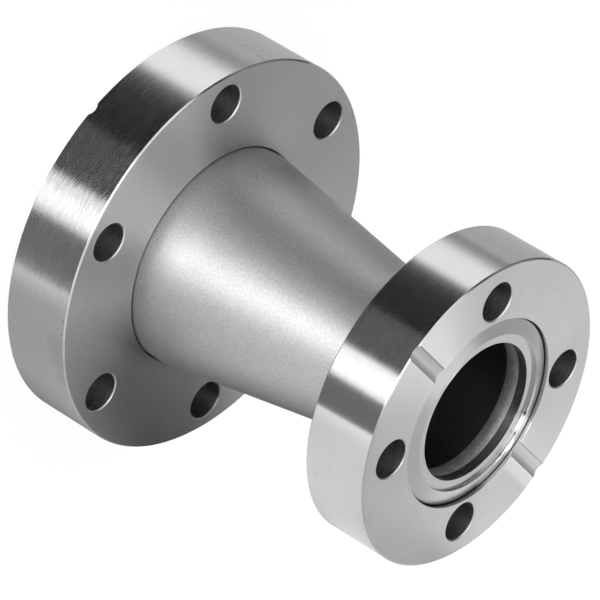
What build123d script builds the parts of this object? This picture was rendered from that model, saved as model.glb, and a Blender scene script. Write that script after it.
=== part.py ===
from build123d import *
import os
from math import cos, radians, sin, tan

# A conical vacuum fitting with a knife-edge flange at each end, in millimetres.
# The axis is Z. The large flange is fixed and its sealing face is at Z = 0, looking down.
# The small end is a knife-edge hub that carries a loose bolt ring, which can be turned
# about the axis to line up its bolt holes. A split wire keeps the ring on the hub.
# Radii are added up from the bores outwards, and heights from the large flange upwards.

# Conical tube
tube_large_od = 38.1
tube_small_od = 26.5
tube_wall = 1.25
cone_start = 2.0
cone_length = 35.8
neck_length = 6.5
bend_radius = 12.0

# Large flange: 69.3 across, with its bolts on a circle of 58.7
large_thickness = 12.7
large_lip = 3.4
large_land_width = 3.05
large_slope_width = 3.2
large_inner_web = 1.85
large_outer_web = 1.95
large_bolt_count = 6
large_bolt_turn = 30.0

# Hub of the small end: 32.7 across
hub_head = 7.0
hub_tail = 4.6
hub_lip = 2.9
hub_land_width = 1.6
hub_slope_width = 2.65
hub_shoulder_width = 1.35

# Bolt ring of the small end: 53.6 across, with its bolts on a circle of 41.3
ring_lip = 3.7
ring_inner_web = 0.75
ring_outer_web = 2.8
ring_bolt_count = 4
ring_turn = -4.9

# Knife edges, with their depth below the bolted-up faces
knife_depth = 0.7
knife_height = 0.5
knife_flank = 0.1
knife_slope = 15.0

# Seal welds inside the tube ends
weld_width = 2.4
weld_depth = 0.5
weld_crown = 0.15

# Bolt holes, leak-check grooves and edges
bolt_hole = 6.7
hole_edge_break = 0.2
groove_width = 2.7
groove_depth = 0.5
groove_overrun = 0.5
rim_chamfer = 0.35
hub_chamfer = 0.3

# Retaining wire
wire_diameter = 1.0
wire_depth = 3.4
wire_split = 12.0

# Fits
socket_gap = 0.2
pocket_gap = 0.2
neck_gap = 0.25
wire_gap = 0.05
wire_seat_gap = 0.15
axial_play = 0.65

# Radii of the large end
large_bore_radius = tube_large_od / 2 - tube_wall
large_channel_radius = large_bore_radius + weld_depth
large_socket_radius = tube_large_od / 2 + socket_gap
large_knife_radius = large_bore_radius + large_land_width + knife_flank
large_pocket_radius = large_knife_radius + large_slope_width
large_bolt_radius = large_pocket_radius + large_inner_web + bolt_hole / 2
large_radius = large_bolt_radius + bolt_hole / 2 + large_outer_web

# Radii of the small end
small_bore_radius = tube_small_od / 2 - tube_wall
small_channel_radius = small_bore_radius + weld_depth
small_socket_radius = tube_small_od / 2 + socket_gap
small_knife_radius = small_bore_radius + hub_land_width + knife_flank
hub_radius = small_knife_radius + hub_slope_width
hub_neck_radius = hub_radius - hub_shoulder_width
ring_lip_radius = hub_neck_radius + neck_gap
ring_pocket_radius = hub_radius + pocket_gap
ring_bolt_radius = ring_pocket_radius + ring_inner_web + bolt_hole / 2
ring_radius = ring_bolt_radius + bolt_hole / 2 + ring_outer_web

# Heights
large_land_height = knife_depth + knife_height
large_tube_end = large_land_height + large_lip
cone_bottom = large_thickness + cone_start
cone_top = cone_bottom + cone_length
hub_back = cone_top + neck_length
hub_shoulder = hub_back + hub_tail
small_land_height = hub_shoulder + hub_head
small_tube_end = small_land_height - hub_lip
ring_lip_top = hub_shoulder - axial_play
ring_back = ring_lip_top - ring_lip
ring_face = small_land_height + knife_height + knife_depth - axial_play
ring_thickness = ring_face - ring_back

# Wire groove, half in the ring and half in the hub, where it is longer by the ring's play
wire_height = small_land_height - wire_depth
wire_circle_radius = (hub_radius + ring_pocket_radius) / 2
wire_groove_bottom = wire_height - wire_diameter / 2 - wire_gap
wire_groove_top = wire_height + wire_diameter / 2 + wire_gap + axial_play
wire_groove_radius = wire_circle_radius - wire_diameter / 2 - wire_seat_gap


def knife_profile(bore, knife, corner, land, outwards):
    """Section points of a sealing face, from the bore to the foot of the pocket wall."""
    tip = land + outwards * knife_height
    foot = tip - outwards * (corner - knife) * tan(radians(knife_slope))
    return [(bore, land), (knife - knife_flank, land), (knife, tip), (corner, foot)]


def bolt_holes(bottom, circle, count, turn):
    """Sketch of a circle of bolt holes on the plane at the given height."""
    with BuildSketch(Plane.XY.offset(bottom)) as holes:
        with PolarLocations(circle, count, start_angle=turn):
            Circle(bolt_hole / 2)
    return holes.sketch


def is_hole_mouth(edge):
    """True for the circular edge at either end of a bolt hole."""
    return abs(edge.radius - bolt_hole / 2) < hole_edge_break / 10


def between_bolts(count, turn):
    """Angles of the two leak-check grooves, opposite each other and midway between bolts."""
    first = turn + 3 * 180 / count
    return (first, first + 180)


def groove_section(angle, face, outwards, start):
    """Section of a leak-check groove, a shallow round-bottomed channel along a radius."""
    radius = (groove_width ** 2 / 4 + groove_depth ** 2) / (2 * groove_depth)
    along = (cos(radians(angle)), sin(radians(angle)), 0)
    across = (-outwards * along[1], outwards * along[0], 0)
    plane = Plane(origin=(0, 0, face), x_dir=across, z_dir=along)
    with BuildSketch(plane.offset(start - groove_overrun)) as section:
        with Locations((0, radius - groove_depth)):
            Circle(radius)
    return section.sketch


def weld_section(bore, middle):
    """Section of a seal weld: a filled channel with a low crown towards the axis."""
    low = (bore, middle - weld_width / 2)
    high = (bore, middle + weld_width / 2)
    Polyline(low, (bore + weld_depth, low[1]), (bore + weld_depth, high[1]), high)
    ThreePointArc(high, (bore - weld_crown, middle), low)


def tube_side(bottom_radius, top_radius, start, end):
    """One side of the tube's section: a straight end, the cone and a straight neck."""
    FilletPolyline(
        (bottom_radius, start),
        (bottom_radius, cone_bottom),
        (top_radius, cone_top),
        (top_radius, end),
        radius=bend_radius,
    )


# Large flange, turned from one disc, with its sealing face underneath
large_seal = knife_profile(large_bore_radius, large_knife_radius, large_pocket_radius, large_land_height, -1)
large_groove_length = large_radius - large_pocket_radius + 2 * groove_overrun
with BuildPart() as large_flange:
    with BuildSketch(Plane.XZ):
        with BuildLine():
            Polyline(
                *large_seal,
                (large_pocket_radius, 0),
                (large_radius - rim_chamfer, 0),
                (large_radius, rim_chamfer),
                (large_radius, large_thickness - rim_chamfer),
                (large_radius - rim_chamfer, large_thickness),
                (large_socket_radius, large_thickness),
                (large_socket_radius, large_tube_end),
                (large_channel_radius, large_tube_end),
                (large_channel_radius, large_tube_end - weld_width / 2),
                (large_bore_radius, large_tube_end - weld_width / 2),
                close=True,
            )
        make_face()
    revolve(axis=Axis.Z)
    large_holes = bolt_holes(0, large_bolt_radius, large_bolt_count, large_bolt_turn)
    extrude(large_holes, amount=large_thickness, mode=Mode.SUBTRACT)
    chamfer(large_flange.edges().filter_by(GeomType.CIRCLE).filter_by(is_hole_mouth), hole_edge_break)
    for angle in between_bolts(large_bolt_count, large_bolt_turn):
        large_groove = groove_section(angle, 0, -1, large_pocket_radius)
        extrude(large_groove, amount=large_groove_length, mode=Mode.SUBTRACT)
large_flange.part.label = "large_flange"

# Conical tube, spun from one piece of tube, with its ends in the two sockets
with BuildPart() as cone_tube:
    with BuildSketch(Plane.XZ):
        with BuildLine():
            tube_side(tube_large_od / 2, tube_small_od / 2, large_tube_end, small_tube_end)
            Polyline(
                (tube_small_od / 2, small_tube_end),
                (small_channel_radius, small_tube_end),
                (small_channel_radius, small_tube_end - weld_width / 2),
                (small_bore_radius, small_tube_end - weld_width / 2),
            )
            tube_side(
                large_bore_radius,
                small_bore_radius,
                large_tube_end + weld_width / 2,
                small_tube_end - weld_width / 2,
            )
            Polyline(
                (large_bore_radius, large_tube_end + weld_width / 2),
                (large_channel_radius, large_tube_end + weld_width / 2),
                (large_channel_radius, large_tube_end),
                (tube_large_od / 2, large_tube_end),
            )
        make_face()
    revolve(axis=Axis.Z)
cone_tube.part.label = "cone_tube"

# Seal welds, run from the inside where each tube end meets its lip
with BuildPart() as large_end_weld:
    with BuildSketch(Plane.XZ):
        with BuildLine():
            weld_section(large_bore_radius, large_tube_end)
        make_face()
    revolve(axis=Axis.Z)
large_end_weld.part.label = "large_end_weld"

with BuildPart() as small_end_weld:
    with BuildSketch(Plane.XZ):
        with BuildLine():
            weld_section(small_bore_radius, small_tube_end)
        make_face()
    revolve(axis=Axis.Z)
small_end_weld.part.label = "small_end_weld"

# Knife-edge hub, with a groove for the wire and a shoulder that pulls against the ring's lip
hub_seal = knife_profile(small_bore_radius, small_knife_radius, hub_radius, small_land_height, 1)
with BuildPart() as knife_edge_hub:
    with BuildSketch(Plane.XZ):
        with BuildLine():
            Polyline(
                *hub_seal,
                (hub_radius, wire_groove_top),
                (wire_groove_radius, wire_groove_top),
                (wire_groove_radius, wire_groove_bottom),
                (hub_radius, wire_groove_bottom),
                (hub_radius, hub_shoulder + hub_chamfer),
                (hub_radius - hub_chamfer, hub_shoulder),
                (hub_neck_radius, hub_shoulder),
                (hub_neck_radius, hub_back + hub_chamfer),
                (hub_neck_radius - hub_chamfer, hub_back),
                (small_socket_radius, hub_back),
                (small_socket_radius, small_tube_end),
                (small_channel_radius, small_tube_end),
                (small_channel_radius, small_tube_end + weld_width / 2),
                (small_bore_radius, small_tube_end + weld_width / 2),
                close=True,
            )
        make_face()
    revolve(axis=Axis.Z)
knife_edge_hub.part.label = "knife_edge_hub"

# Bolt ring, which turns on the hub and holds it by a lip at the back
ring_groove_length = ring_radius - ring_pocket_radius + 2 * groove_overrun
with BuildPart() as bolt_ring:
    with BuildSketch(Plane.XZ):
        with BuildLine():
            Polyline(
                (ring_pocket_radius, ring_face),
                (ring_radius - rim_chamfer, ring_face),
                (ring_radius, ring_face - rim_chamfer),
                (ring_radius, ring_back + rim_chamfer),
                (ring_radius - rim_chamfer, ring_back),
                (ring_lip_radius, ring_back),
                (ring_lip_radius, ring_lip_top),
                (ring_pocket_radius, ring_lip_top),
                close=True,
            )
        make_face()
    revolve(axis=Axis.Z)
    with BuildSketch(Plane.XZ):
        with Locations((wire_circle_radius, wire_height)):
            Circle(wire_diameter / 2 + wire_gap)
    revolve(axis=Axis.Z, mode=Mode.SUBTRACT)
    ring_holes = bolt_holes(ring_back, ring_bolt_radius, ring_bolt_count, ring_turn)
    extrude(ring_holes, amount=ring_thickness, mode=Mode.SUBTRACT)
    chamfer(bolt_ring.edges().filter_by(GeomType.CIRCLE).filter_by(is_hole_mouth), hole_edge_break)
    for angle in between_bolts(ring_bolt_count, ring_turn):
        ring_groove = groove_section(angle, ring_face, 1, ring_pocket_radius)
        extrude(ring_groove, amount=ring_groove_length, mode=Mode.SUBTRACT)
bolt_ring.part.label = "bolt_ring"

# Retaining wire, a split ring that snaps into the ring's groove and rides in the hub's
with BuildPart() as retaining_wire:
    with BuildSketch(Plane.XZ):
        with Locations((wire_circle_radius, wire_height)):
            Circle(wire_diameter / 2)
    revolve(axis=Axis.Z, revolution_arc=360 - wire_split)
retaining_wire.part.label = "retaining_wire"

pieces = [
    large_flange,
    cone_tube,
    large_end_weld,
    small_end_weld,
    knife_edge_hub,
    bolt_ring,
    retaining_wire,
]
os.makedirs("parts", exist_ok=True)
for piece in pieces:
    export_step(piece.part, "parts/" + piece.part.label + ".step")
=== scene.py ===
from math import acos, atan2, ceil, cos, degrees, pi, radians, sin, tan

import bpy
from mathutils import Matrix, Vector


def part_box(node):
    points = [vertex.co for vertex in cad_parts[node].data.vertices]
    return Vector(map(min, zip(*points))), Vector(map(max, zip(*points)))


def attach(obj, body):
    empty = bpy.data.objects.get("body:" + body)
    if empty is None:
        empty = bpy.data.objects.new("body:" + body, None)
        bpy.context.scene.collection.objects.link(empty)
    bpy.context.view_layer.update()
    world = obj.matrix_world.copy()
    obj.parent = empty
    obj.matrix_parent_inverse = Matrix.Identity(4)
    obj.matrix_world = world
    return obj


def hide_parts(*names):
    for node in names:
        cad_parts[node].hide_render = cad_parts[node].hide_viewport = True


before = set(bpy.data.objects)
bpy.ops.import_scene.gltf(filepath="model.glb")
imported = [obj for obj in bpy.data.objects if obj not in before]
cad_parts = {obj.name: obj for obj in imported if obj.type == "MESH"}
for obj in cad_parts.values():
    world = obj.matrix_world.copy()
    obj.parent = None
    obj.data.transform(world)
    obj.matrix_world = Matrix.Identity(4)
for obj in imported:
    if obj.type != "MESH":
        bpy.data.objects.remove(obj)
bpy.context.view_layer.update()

bl_info = {
    "name": "Conical vacuum reducer",
    "version": (1, 0, 0),
    "blender": (4, 5, 0),
    "location": "3D View > Sidebar > Reducer",
    "description": "Dresses a conical knife-edge reducer: flanges, blasted cone, welds and studio",
    "category": "Object",
}

MM = 0.001
UNDERSIDE, TOPSIDE = -1, 1
CAMERA_AIM = Vector((0.40, 0.77, 30.80)) * MM
NEAR = 0.01 * MM  # the reach within which a face counts as part of a cut
FLAT = 0.9  # the upward part of its normal that makes a face a flat one
DRILL_SPARE = 1.0 * MM  # how far a drill goes past the disc
GROOVE_SPARE = 0.5 * MM  # how far a groove's cutter goes past the ends of the groove
GROOVES = 2
DRILL_FACES, CHANNEL_FACES = 72, 128
CORNER_STEP = 18  # degrees between the points of a softened corner
LEAST_TURN = radians(1)  # a corner that turns less stays as it is
KNIFE_ROUNDINGS = 0.03, 0.035, 0.05  # of the land's edge, the tip and the foot, in millimetres
WIRE_ROUNDING = 0.05
BEND_STEPS = 10
WIRE_SEAT_STEPS = 12
CROWN_STEPS = 16
RIPPLE_HEIGHT = 0.02 * MM
FACES_PER_RIPPLE = 9
ACROSS_MARKS = 0.25  # the anisotropic rotation that smears reflections across turning marks
RING_STREAKS = 0.12  # how streaky the ring's rim is, with the large flange's rim at 1


def length(label, millimetres, description):
    """A size in the sidebar, stored in metres."""
    return bpy.props.FloatProperty(
        name=label, default=millimetres * MM, description=description,
        min=0, precision=5, unit="LENGTH", subtype="DISTANCE",
    )


def angle(label, turn, description):
    """An angle in the sidebar, stored in radians."""
    return bpy.props.FloatProperty(
        name=label, default=radians(turn), description=description, precision=3, subtype="ANGLE",
    )


def share(label, value, description, high=1.0):
    """A plain number between nothing and its highest value."""
    return bpy.props.FloatProperty(
        name=label, default=value, description=description, min=0, max=high,
    )


def count(label, value, description, low=3):
    """A whole number that isn't under its lowest value."""
    return bpy.props.IntProperty(name=label, default=value, description=description, min=low)


def colour(label, value, description):
    """The colour of a steel."""
    return bpy.props.FloatVectorProperty(
        name=label, default=value, description=description, subtype="COLOR", size=3, min=0, max=1,
    )


def of_box(node, corner, axis):
    """One coordinate of a CAD node's box, in millimetres: corner 0 is lowest and 1 highest."""
    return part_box(node)[corner][axis] / MM


class TubeSizes(bpy.types.PropertyGroup):
    """The spun tube: a straight wide end, a cone and a straight neck."""
    wide_radius: length("Wide end radius", 19.05, "Outside radius of the tube in the large flange")
    neck_radius: length("Neck radius", 13.25, "Outside radius of the tube in the hub")
    wall: length("Wall", 1.25, "Thickness of the tube wall")
    cone_bottom: length("Cone bottom", 14.7, "Height at which the taper starts")
    cone_top: length("Cone top", 50.5, "Height at which the taper ends")
    bend: length("Bend radius", 12.0, "Radius of the bend at either end of the cone")
    low_end: length("Low end", 4.6, "Height of the tube's end in the large flange")
    high_end: length("High end", 65.7, "Height of the tube's end in the hub")
    weld_width: length("Weld width", 2.4, "Width of the seal weld inside each end")
    weld_depth: length("Weld depth", 0.5, "Depth of the seal weld into the wall")
    weld_crown: length("Weld crown", 0.15, "How far the weld stands into the bore")


class LargeFlangeSizes(bpy.types.PropertyGroup):
    """The fixed flange, turned from one disc, with its sealing face underneath."""
    rim: length("Rim radius", of_box("large_flange", 1, 0), "Outside radius")
    thickness: length("Thickness", of_box("large_flange", 1, 2), "From sealing side to back")
    bore: length("Bore radius", 17.8, "Radius of the passage")
    socket: length("Socket radius", 19.25, "Radius of the socket that takes the tube")
    knife: length("Knife radius", 20.95, "Radius of the knife edge's tip")
    pocket: length("Pocket radius", 24.15, "Radius of the gasket pocket")
    land: length("Land height", 1.2, "Height of the flat inside the knife edge")
    bolt_circle: length("Bolt circle radius", 29.35, "Radius on which the bolt holes lie")
    groove_depth: length("Groove depth", 0.7, "Depth of a leak-check groove")
    bolts: count("Bolt holes", 6, "Number of bolt holes")
    first_bolt: angle("First bolt hole", 30.0, "Angle of the first bolt hole from +X")


class HubSizes(bpy.types.PropertyGroup):
    """The small end's hub, with the knife edge and the groove for the wire."""
    bore: length("Bore radius", 12.0, "Radius of the passage")
    socket: length("Socket radius", 13.45, "Radius of the socket that takes the tube")
    knife: length("Knife radius", 13.7, "Radius of the knife edge's tip")
    rim: length("Rim radius", 16.35, "Outside radius of the hub's head")
    neck: length("Neck radius", 15.0, "Outside radius under the shoulder")
    back: length("Back", of_box("knife_edge_hub", 0, 2), "Height of the hub's back")
    shoulder: length("Shoulder", 61.6, "Height of the shoulder that the ring pulls on")
    land: length("Land", 68.6, "Height of the flat inside the knife edge")
    wire_bottom: length("Wire groove bottom", 64.65, "Lower wall of the wire groove")
    wire_top: length("Wire groove top", 66.4, "Upper wall of the wire groove")
    wire_floor: length("Wire groove floor", 15.8, "Radius of the wire groove's floor")


class BoltRingSizes(bpy.types.PropertyGroup):
    """The loose ring that turns on the hub."""
    rim: length("Rim radius", of_box("bolt_ring", 1, 0), "Outside radius")
    lip: length("Lip radius", 15.25, "Radius of the hole in the ring's lip")
    pocket: length("Pocket radius", 16.55, "Radius of the ring's pocket around the hub")
    back: length("Back", of_box("bolt_ring", 0, 2), "Height of the ring's back")
    lip_top: length("Lip top", 60.95, "Height of the lip's upper side")
    face: length("Face", of_box("bolt_ring", 1, 2), "Height of the ring's face")
    wire_height: length("Wire height", 65.2, "Height of the wire's centre")
    wire_circle: length("Wire circle", 16.45, "Radius of the wire's centre line")
    wire_groove: length("Wire groove", 0.55, "Radius of the groove's round section")
    bolt_circle: length("Bolt circle radius", 20.65, "Radius on which the bolt holes lie")
    groove_depth: length("Groove depth", 0.5, "Depth of a leak-check groove")
    bolts: count("Bolt holes", 4, "Number of bolt holes")
    first_bolt: angle("First bolt hole", -4.9, "Angle of the first bolt hole from +X")


class EdgeSizes(bpy.types.PropertyGroup):
    """Sizes that the turned pieces share."""
    bolt_hole: length("Bolt hole radius", 3.35, "Radius of every bolt hole")
    hole_break: length("Hole edge break", 0.2, "Chamfer at the mouth of a bolt hole")
    rim_chamfer: length("Rim chamfer", 0.25, "Chamfer at the edges of the rims")
    hub_chamfer: length("Hub chamfer", 0.3, "Chamfer at the edges of the hub")
    socket_break: length("Socket edge break", 0.2, "Chamfer at the large socket's mouth")
    knife_height: length("Knife height", 0.5, "Height of the knife edge over its land")
    knife_flank: length("Knife flank", 0.1, "Width of the knife edge's steep side")
    knife_slope: angle("Knife slope", 15.0, "Slope of the knife edge's long side")
    groove_width: length("Groove width", 2.7, "Width of a leak-check groove")
    softening: length("Softened edge", 0.09, "Radius of the softened turned edges")
    segments: count("Segments", 288, "Faces around a turned piece", 48)


class SteelFinish(bpy.types.PropertyGroup):
    """Colours and polish of the steels."""
    turned: colour("Turned steel", (0.60, 0.60, 0.61), "The flange's rim and the ring")
    # Partly painted shade: the back's colour is darker than the rim's for its duller finish and for
    # the shade of the cone and ring above it.
    satin_and_shade: colour("Satin steel", (0.46, 0.46, 0.465), "The large flange's dull back")
    polished: colour("Polished steel", (0.56, 0.56, 0.565), "The hub")
    blasted: colour("Blasted steel", (0.515, 0.515, 0.525), "The cone")
    welded: colour("Weld steel", (0.54, 0.535, 0.53), "The seal welds")
    drawn: colour("Drawn steel", (0.58, 0.58, 0.58), "The retaining wire")
    # Painted shade: the hole walls' colour is darkened for the shade inside the holes.
    shaded_hole_wall: colour("Drilled steel", (0.28, 0.28, 0.285), "The walls of the bolt holes")
    milled: colour("Milled steel", (0.56, 0.56, 0.565), "The leak-check grooves")
    lapped: colour("Lapped steel", (0.52, 0.52, 0.525), "The hub's land")
    smear: share("Turning smear", 1.0, "How far a reflection is smeared across turning marks")
    rim_roughness: share("Rim roughness", 0.19, "Roughness of the turned rims")
    face_roughness: share("Face roughness", 0.25, "Roughness of the ring's face")
    back_roughness: share("Back roughness", 0.42, "Roughness of the large flange's back")
    blast_roughness: share("Blast roughness", 0.487, "Roughness of the blasted cone")


class StudioSettings(bpy.types.PropertyGroup):
    """Camera and light."""
    camera_azimuth: angle("Camera azimuth", 136.47, "Direction of the camera from +X")
    camera_height: angle("Camera elevation", 31.27, "Elevation of the camera")
    camera_roll: angle("Camera roll", 120.95, "How far the camera is turned about its own axis")
    camera_distance: length("Camera distance", 862.5, "From the camera to the point it looks at")
    lens: bpy.props.FloatProperty(
        name="Lens", default=325.34, description="Focal length", subtype="DISTANCE_CAMERA",
    )
    floor_size: length("Floor size", 2400.0, "Length of the floor's sides")
    ambient: share("Ambient light", 1.0, "Light of the plain white tent", 4)
    card_azimuth: angle("Card azimuth", 243.67, "Direction in which the card leans on the rims")
    # The card's brightness is painted light: its dim end is painted shade and its shade is a
    # painted shadow of the part.
    card_lit: share("Card, lit end", 1.06, "Brightness of the card next to the bolt ring", 4)
    card_dim: share("Card, dim end", 0.55, "Brightness of the card behind the large flange", 4)
    card_high: share("Card, top", 0.68, "Brightness of the card above the bolt ring", 4)
    card_painted_shadow: share("Card shade", 0.91, "Depth of the part's soft shadow on the card")


GROUPS = {
    "reducer_tube": TubeSizes,
    "reducer_flange": LargeFlangeSizes,
    "reducer_hub": HubSizes,
    "reducer_ring": BoltRingSizes,
    "reducer_edges": EdgeSizes,
    "reducer_steel": SteelFinish,
    "reducer_studio": StudioSettings,
}

# The light tent that reflections see. Each panel has its middle and width around the part and its
# lower and upper edge, in degrees, with 0 towards the camera and the horizon, and its brightness.
# A later panel covers the earlier ones.
PANELS = (
    ("left wall", -134, 74, -95, -20, 0.66),
    ("gap beside the soft box", -108, 7, -95, 12, 0.35),
    ("soft box", -84, 27, -95, -20, 1.50),
    ("strip light, lower part", 15, 22, -95, -20, 0.50),
    ("dark gap", 42, 32, -95, 12, 0.20),
    ("right wall", 110, 104, -95, 12, 0.65),
    ("background", 177.5, 23, -95, -20, 2.70),
    ("far left wall", -155, 32, -20, 12, 0.55),
    ("soft box, upper part", -84, 27, -20, 12, 0.90),
    ("dark side, near the camera", -10, 28, -20, 12, 0.45),
    ("strip light", 16, 20, -20, 12, 6.50),
    ("heart of the strip light", 17, 9, -20, 12, 8.80),
    ("far right wall", 168, 12, -12, 12, 2.50),
    ("far right glow", 172, 9, -12, 12, 2.00),
    ("far glow", 181.5, 7, -12, 12, 2.50),
    ("far lamp", 178.4, 1.4, -12, 12, 12.00),
    ("upper far left wall", -155, 32, 12, 50, 0.50),
    ("upper left corner", -118, 42, 12, 50, 0.30),
    ("upper left wall", -46, 46, 12, 50, 1.70),
    ("left corner lamp", -70, 16, 38, 54, 0.90),
    ("upper front", 0, 46, 12, 55, 3.40),
    ("upper right front", 46, 46, 12, 50, 1.60),
    ("upper right wall", 114, 94, 12, 50, 0.60),
    ("backdrop", 176, 30, 12, 50, 1.00),
    ("ceiling", 0, 400, 52, 95, 1.25),
)
PANEL_BORDER = 8  # degrees over which a panel's lower and upper edges fade

# The white card's ends and edges, in metres, and its gap to the rims.
CARD_FRONT, CARD_REAR, CARD_LOW, CARD_HIGH = -0.070, 0.060, -0.060, 0.160
CARD_GAP = 0.3 * MM

# Marks of wear: place on the piece and size in millimetres, and depth from 0 to 1.
FLANGE_MARKS = (
    (-34.5, 3.5, 12.2, 0.22, 1.0),
    (-34.6, 2.2, 12.3, 0.18, 0.7),
    (-34.6, 1.2, 12.2, 0.25, 1.0),
    (-34.6, -1.5, 10.9, 2.6, 0.22),
    (-34.3, -4.9, 11.3, 2.8, 0.22),
    (-33.6, -8.4, 11.9, 2.4, 0.20),
    (10.8, 32.9, 4.9, 0.5, 0.25),
    (12.2, 32.4, 7.5, 0.7, 0.22),
    (10.0, 33.2, 8.6, 0.9, 0.18),
    (11.6, 32.6, 9.3, 0.6, 0.25),
    (9.4, 33.3, 10.7, 0.9, 0.20),
    (9.0, 33.5, 12.1, 0.8, 0.28),
)
HUB_MARKS = (
    (12.2, -6.4, 69.0, 0.50, 1.0),
    (10.1, -9.3, 69.0, 0.34, 1.0),
    (6.9, -11.9, 69.0, 0.34, 0.9),
    (13.7, 2.3, 68.9, 0.30, 0.7),
)
RING_MARKS = (
    (-26.6, -3.4, 59.2, 0.30, 0.35),
    (-26.5, -3.9, 59.5, 0.25, 0.30),
    (-26.8, -1.1, 62.1, 0.25, 0.30),
    (-26.5, -3.7, 61.1, 0.30, 0.25),
    (-26.6, -2.7, 62.8, 0.20, 0.25),
    (-23.8, 12.3, 60.0, 0.40, 0.20),
)


class Value:
    """A socket in a node tree. Python's operators on it add Math nodes to the tree."""

    def __init__(self, sheet, socket):
        self.sheet = sheet
        self.socket = socket

    def __add__(self, other):
        return self.sheet.math("ADD", self, other)

    def __sub__(self, other):
        return self.sheet.math("SUBTRACT", self, other)

    def __rsub__(self, other):
        return self.sheet.math("SUBTRACT", other, self)

    def __mul__(self, other):
        return self.sheet.math("MULTIPLY", self, other)

    def __truediv__(self, other):
        return self.sheet.math("DIVIDE", self, other)

    def __rtruediv__(self, other):
        return self.sheet.math("DIVIDE", other, self)

    def __pow__(self, other):
        return self.sheet.math("POWER", self, other)

    def __neg__(self):
        return self.sheet.math("MULTIPLY", self, -1)

    __radd__ = __add__
    __rmul__ = __mul__


class Sheet:
    """A node tree being drawn, either a material's, the world's or a geometry tree."""

    def __init__(self, tree):
        self.tree = tree
        tree.nodes.clear()

    def node(self, kind, inputs=None, output=0, choices=2, **settings):
        """Adds a node, sets its settings, then its sockets, and gives one of its outputs.

        The choices are the number of items of an Index Switch."""
        made = self.tree.nodes.new(kind)
        for name, value in settings.items():
            setattr(made, name, value)
        for _ in range(choices - 2):
            made.index_switch_items.new()
        for name, value in (inputs or {}).items():
            self.feed(made.inputs[name], value)
        return Value(self, made.outputs[output])

    def feed(self, socket, value):
        """Links a socket to a value, or sets it to a plain one."""
        if isinstance(value, Value):
            self.tree.links.new(value.socket, socket)
        else:
            socket.default_value = value

    def math(self, operation, *terms):
        return self.node("ShaderNodeMath", dict(enumerate(terms)), operation=operation)

    def vector_math(self, operation, *terms, output="Vector"):
        inputs = dict(enumerate(terms))
        return self.node("ShaderNodeVectorMath", inputs, output, operation=operation)

    def scaled(self, vector, factor):
        """A vector or a colour times a number."""
        inputs = {0: vector, "Scale": factor}
        return self.node("ShaderNodeVectorMath", inputs, operation="SCALE")

    def vector(self, x, y, z):
        return self.node("ShaderNodeCombineXYZ", {"X": x, "Y": y, "Z": z})

    def parts(self, vector):
        """The three numbers of a vector."""
        made = self.tree.nodes.new("ShaderNodeSeparateXYZ")
        self.feed(made.inputs["Vector"], vector)
        return [Value(self, made.outputs[axis]) for axis in "XYZ"]

    def ramp(self, value, start, end, low=0.0, high=1.0):
        """Goes smoothly from low to high while the value goes from start to end."""
        return self.node("ShaderNodeMapRange", {
            "Value": value, "From Min": start, "From Max": end, "To Min": low, "To Max": high,
        }, interpolation_type="SMOOTHSTEP")

    def band(self, value, start, end, soft):
        """1 between start and end, with soft borders, and 0 elsewhere."""
        rise = self.ramp(value, start - soft / 2, start + soft / 2)
        return rise * self.ramp(value, end - soft / 2, end + soft / 2, 1.0, 0.0)

    def blend(self, share_of_second, first, second):
        """Goes from one number to another."""
        inputs = {0: share_of_second, 2: first, 3: second}
        return self.node("ShaderNodeMix", inputs, data_type="FLOAT")

    def mix_colours(self, share_of_second, first, second):
        """Goes from one colour to another."""
        inputs = {0: share_of_second, 6: (*first, 1), 7: (*second, 1)}
        return self.node("ShaderNodeMix", inputs, 2, data_type="RGBA")

    def noise(self, place, scale, detail=2.0, roughness=0.5):
        """Noise from -0.5 to 0.5, with a mean of nothing."""
        return self.node("ShaderNodeTexNoise", {
            "Vector": place, "Scale": scale, "Detail": detail, "Roughness": roughness,
        }) - 0.5

    def cells(self, place, scale):
        """Distance to the middle of the nearest cell."""
        inputs = {"Vector": place, "Scale": scale}
        return self.node("ShaderNodeTexVoronoi", inputs, feature="F1")


def apart(across, along):
    """How long a way is that goes so far across and so far along."""
    return (across * across + along * along) ** 0.5


class Place:
    """A point in a tree: its vector, its x, y and z, and its distance from the axis."""

    def __init__(self, sheet, point):
        self.sheet, self.point = sheet, point
        self.x, self.y, self.z = sheet.parts(point)
        self.radius = apart(self.x, self.y)

    def from_nearest(self, first, number, circle):
        """How far outwards and aside it lies from the nearest of a number of points on a circle."""
        step = 2 * pi / number
        around = self.sheet.math("ARCTAN2", self.y, self.x) - first
        fold = around - self.sheet.math("ROUND", around / step) * step
        outwards = self.radius * self.sheet.math("COSINE", fold) - circle
        return outwards, self.radius * self.sheet.math("SINE", fold)

    def turning_marks(self, lines_per_mm, streaks):
        """Fine marks that a lathe leaves around the axis, as long streaks."""
        x, y = self.x / self.radius * streaks, self.y / self.radius * streaks
        z = (self.z + self.radius * 1.7) * lines_per_mm
        return self.sheet.noise(self.sheet.vector(x, y, z), 1.0, 2.0, 0.6)

    def spots(self, marks):
        """Above 0 on the marks of wear."""
        total = 0.0
        for *middle, size, depth in marks:
            gap = self.sheet.vector_math("DISTANCE", self.point, middle, output="Value")
            total = self.sheet.ramp(gap / size, 1.0, 0.3, 0.0, depth) + total
        return total

    def facing_in(self):
        """1 on the walls of the passage, which face the axis, and 0 elsewhere."""
        x, y, _ = self.sheet.parts(self.sheet.normal())
        return self.sheet.ramp((x * self.x + y * self.y) / self.radius, -0.3, -0.7)


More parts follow.
